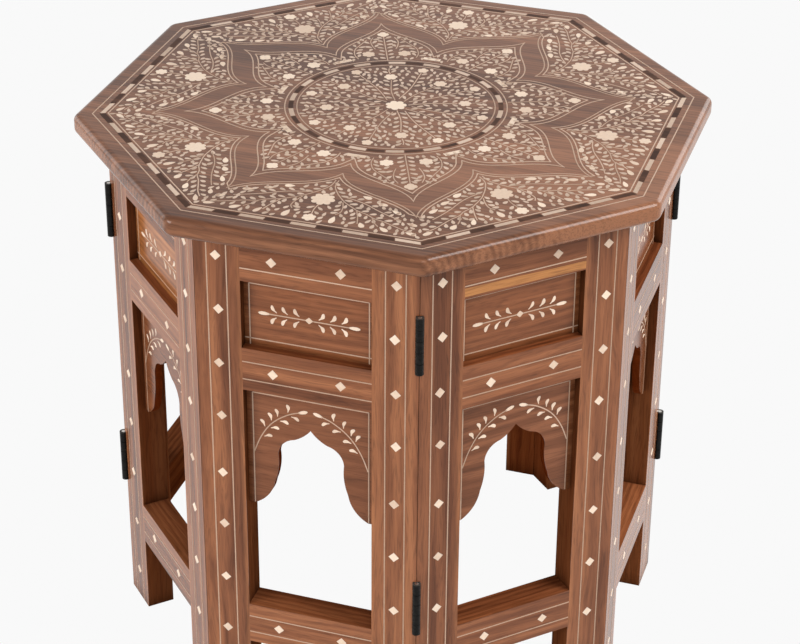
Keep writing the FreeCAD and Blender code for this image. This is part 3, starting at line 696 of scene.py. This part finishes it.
def top_flower(mesh, radius, lobes, at, angle):
    take(sector([at], angle)[0], radius)
    prism(mesh, sector(flower(radius * HAND.uniform(0.95, 1.05), lobes, at), angle), on_top)


# A stem with pairs of leaves standing off it
def spray(mesh, points, angle, splay=0.85):
    path = smooth(points, 5)
    ribbon(mesh, sector(path, angle), on_top, TOP_STEM_WIDTH)
    for at in sector(path, angle):
        take(at, 0.7)
    length = sum(math.dist(a, b) for a, b in zip(path, path[1:]))
    count = max(1, round(length / LEAF_SPACING))
    for i in range(count):
        at, way = point_along(path, (i + 0.5) / count)
        for side in (-1, 1):
            off = side * ROOT_STANDOFF
            root = (at[0] - off * math.sin(way), at[1] + off * math.cos(way))
            top_leaf(mesh, root, way + side * splay, angle)


ROW_STEP, LEAF_STEP, LEAF_ROOM = 2.7, 3.1, 2.5
SMALL_LEAF_LENGTH, SMALL_LEAF_WIDTH, SMALL_LEAF_ROOT = 5.2, 2.6, 2.7


# Fills what is left of a field with single leaves that point outward
def scatter(mesh, angle, inside, low, high, half):
    row = 0
    u = low
    while u < high:
        v = -half + (row % 2) * LEAF_STEP
        while v < half:
            at = (u + HAND.uniform(-1, 1), v + HAND.uniform(-1, 1))
            if inside(*at) and is_free(sector([at], angle)[0], LEAF_ROOM):
                way = math.atan2(at[1], at[0]) + HAND.uniform(-0.7, 0.7)
                root = (at[0] - SMALL_LEAF_ROOT * math.cos(way), at[1] - SMALL_LEAF_ROOT * math.sin(way))
                top_leaf(mesh, root, way, angle, SMALL_LEAF_LENGTH, SMALL_LEAF_WIDTH, sure=True)
            v += LEAF_STEP
        u += ROW_STEP
        row += 1


# Distance from the middle of the top to one of the rosette's strings, at an angle from a petal's axis
def string_reach(side, angle):
    polar = sorted((math.atan2(v, u), math.hypot(u, v)) for u, v in side)
    angle = abs(angle)
    for (a, r), (b, s) in zip(polar, polar[1:]):
        if angle <= b:
            return r + (s - r) * (angle - a) / (b - a)
    return polar[-1][1]


def mirrored(points, side):
    return [(u, side * v) for u, v in points]


STRING_ROOM = 3.4
FIELD_EDGE = 197.6


# Outer fields, one against each side of the border
def in_field(u, v):
    off_petal = math.pi / 8 - abs(math.atan2(v, u))
    return u < FIELD_EDGE and math.hypot(u, v) > string_reach(FIELD_STRING, off_petal) + STRING_ROOM


FIELD_STEMS = (
    ((134, 1.1), (143.5, 1.8), (152.5, 6.5), (159, 11.4), (164.5, 16.3), (170, 23.4), (174, 29.3),
     (177, 37), (181, 43), (183, 50), (186, 57), (190, 66), (192, 74)),
    ((173.4, 28), (182.6, 31.8), (192, 34.7)),
    ((179.7, 41.3), (186.6, 45.2), (191.4, 49.4)),
    ((165, 15), (172.5, 17.5), (179.6, 18.3), (184, 16)),
    ((157, 13), (159, 22), (163, 32), (169, 42), (174, 52), (178, 62)),
)
# Large leaves of a field: place, heading, length and width
FIELD_LEAVES = ((187, 16.5, 0.05, 9.5, 4.6), (193, 36, 0.6, 8.0, 4.2), (193.8, 51, 1.0, 9.0, 4.2),
                (180.5, 67, 1.2, 8.0, 4.0), (193.5, 70, 1.2, 9.0, 4.0), (165.5, 51.5, 1.2, 8.5, 4.0),
                (158.5, 38.5, 1.4, 8.0, 4.2), (151.5, 25.5, 1.25, 8.5, 4.5))
FIELD_MIDDLE = 185
mesh = bmesh.new()
for field in range(8):
    angle = math.radians(45 * field - 67.5)
    top_flower(mesh, 8.6, 8, (164.6, 0), angle)
    top_flower(mesh, 5.0, 6, (193.4, 0), angle)
    for u, v, way, length, width in FIELD_LEAVES:
        push = 1.0 if u < FIELD_MIDDLE else -1.0
        for _ in range(9):
            ends = [(u + t * length * math.cos(way), v + t * length * math.sin(way)) for t in (0, 0.5, 1)]
            if all(in_field(*end) for end in ends):
                break
            u += push
        for side in (-1, 1):
            top_leaf(mesh, (u, side * v), side * way, angle, length, width, sure=True)
    spray(mesh, [(172.8, 0), (180, -0.8), (188, 0)], angle)
    for points in FIELD_STEMS:
        for side in (-1, 1):
            spray(mesh, mirrored(points, side), angle)
    scatter(mesh, angle, in_field, 132, 200, 84)
inlay_piece(mesh, "top_field_flowers", "top")


# Petals of the rosette, with two flowers at the foot of each and one at its point
def in_petal(u, v):
    reach = string_reach(PETAL_STRING, math.atan2(v, u))
    return 89.0 < math.hypot(u, v) < reach - STRING_ROOM and (u < 96 or abs(v) < 33)


PETAL_STEMS = (
    ((107.7, 8.4), (115, 10.4), (123.5, 11.0), (131, 8.6)),
    ((89, 23.0), (96.8, 25.4), (107.7, 24.6), (116.6, 19.8), (127, 13.8)),
)
mesh = bmesh.new()
for petal in range(8):
    angle = math.radians(45 * petal - 90)
    top_flower(mesh, 4.7, 4, (137.0, 0), angle)
    for side in (-1, 1):
        top_flower(mesh, 5.3, 6, (97.8, side * 14.4), angle)
    spray(mesh, [(85.6, 0), (110, 0), (132.0, 0)], angle, splay=1.0)
    for points in PETAL_STEMS:
        for side in (-1, 1):
            spray(mesh, mirrored(points, side), angle)
    scatter(mesh, angle, in_petal, 87, 146, 40)
inlay_piece(mesh, "top_petal_flowers", "top")


# Middle disc, with a large flower from which stems run out to two rings of small flowers
mesh = bmesh.new()
top_flower(mesh, 8.6, 7, (0, 0), 0)
for ray in range(8):
    angle = math.radians(45 * ray - 90)
    out = (math.cos(angle), math.sin(angle))
    half = (math.cos(angle + math.pi / 8), math.sin(angle + math.pi / 8))
    top_flower(mesh, 5.1, 6, (52.8 * out[0], 52.8 * out[1]), 0)
    top_flower(mesh, 4.4, 5, (68.4 * half[0], 68.4 * half[1]), 0)
for ray in range(8):
    angle = math.radians(45 * ray - 90)
    spray(mesh, sector([(9.5, 0), (26, 1.6), (47, 0)], angle), 0)
    spray(mesh, sector([(12, 1.5), (34, -1.0), (63.6, 0)], angle + math.pi / 8), 0)
    spray(mesh, sector([(58.4, 0), (64, 0.6), (69, 0)], angle), 0)
scatter(mesh, 0, lambda u, v: math.hypot(u, v) < 72.3, -74, 74, 74)
inlay_piece(mesh, "top_middle_flowers", "top")


# Studio: a pale paper floor that runs past the view, a pale room and five broad soft lamps, three
# from the front and the sides and two weaker ones from behind. Camera and gloss see plain white.
SEEN_WHITE = (0.947, 0.947, 0.947, 1)


# Shows one look to the camera and to reflections, while another gives the light
def two_looks(make, lit, seen, output):
    rays = make.add("LightPath").outputs
    shown = make.calc("MAXIMUM", rays["Is Camera Ray"], rays["Is Glossy Ray"])
    fill(output, Surface=make.add("MixShader", shown, lit, seen).outputs["Shader"])


paper, shader, make = new_material("floor_paper")
fill(shader, Base_Color=(0.80, 0.80, 0.79, 1), Roughness=0.9)
glow = make.add("Emission", Color=SEEN_WHITE)
two_looks(make, shader.outputs["BSDF"], glow.outputs["Emission"], make.tree.nodes["Material Output"])
mesh = bmesh.new()
bmesh.ops.create_grid(mesh, x_segments=1, y_segments=1, size=6.0)
data = bpy.data.meshes.new("floor")
mesh.to_mesh(data)
mesh.free()
data.materials.append(paper)
floor = bpy.data.objects.new("floor", data)
bpy.context.scene.collection.objects.link(floor)

world = bpy.data.worlds.new("studio")
world.use_nodes = True
bpy.context.scene.world = world
make = Nodes(world.node_tree)
ambient = fill(world.node_tree.nodes["Background"], Color=(1.0, 0.99, 0.98, 1), Strength=0.34)
seen = make.add("Background", Color=SEEN_WHITE)
two_looks(make, ambient.outputs["Background"], seen.outputs["Background"],
          world.node_tree.nodes["World Output"])


def lamp(name, at, size, power):
    light = bpy.data.lights.new(name, "AREA")
    light.size = size
    light.energy = power
    piece = bpy.data.objects.new(name, light)
    piece.location = at
    piece.rotation_euler = (LAMP_AIM - Vector(at)).to_track_quat("-Z", "Y").to_euler()
    bpy.context.scene.collection.objects.link(piece)


LAMP_AIM = Vector((0, 0, 0.25))
lamp("left", (-2.2, -1.1, 0.75), 1.2, 42)
lamp("right", (1.95, -0.95, 2.2), 1.4, 74)
lamp("front", (0.1, -2.6, 1.9), 1.4, 16)
lamp("back_left", (-2.0, 1.7, 0.8), 1.2, 9)
lamp("back_right", (2.0, 1.7, 1.3), 1.4, 20)


# Camera: a long lens a little above the table, turned slightly left of its front corner. Its axis
# runs above the middle of the picture, so the lens is shifted.
AZIMUTH, ELEVATION, ROLL = map(math.radians, (-4.687, 28.105, 0.441))
DISTANCE, TARGET = 1.79076, Vector((0.003814, 0, 0.326926))
FOCAL_PIXELS, PICTURE_WIDTH, SENSOR_WIDTH = 2284.25, 800, 36
AXIS_ROW, MIDDLE_ROW = 234, 322
back = Vector((math.sin(AZIMUTH) * math.cos(ELEVATION), -math.cos(AZIMUTH) * math.cos(ELEVATION),
               math.sin(ELEVATION)))
level = Vector((math.cos(AZIMUTH), math.sin(AZIMUTH), 0))
right = level * math.cos(ROLL) + back.cross(level) * math.sin(ROLL)
up = back.cross(right)
lens = bpy.data.cameras.new("camera")
lens.sensor_width = SENSOR_WIDTH
lens.lens = FOCAL_PIXELS / PICTURE_WIDTH * SENSOR_WIDTH
lens.shift_y = (AXIS_ROW - MIDDLE_ROW) / PICTURE_WIDTH
camera = bpy.data.objects.new("camera", lens)
heading = Matrix((right, up, back)).transposed().to_4x4()
camera.matrix_world = Matrix.Translation(TARGET + back * DISTANCE) @ heading
bpy.context.scene.collection.objects.link(camera)
bpy.context.scene.camera = camera
bpy.context.scene.view_settings.view_transform = "Standard"
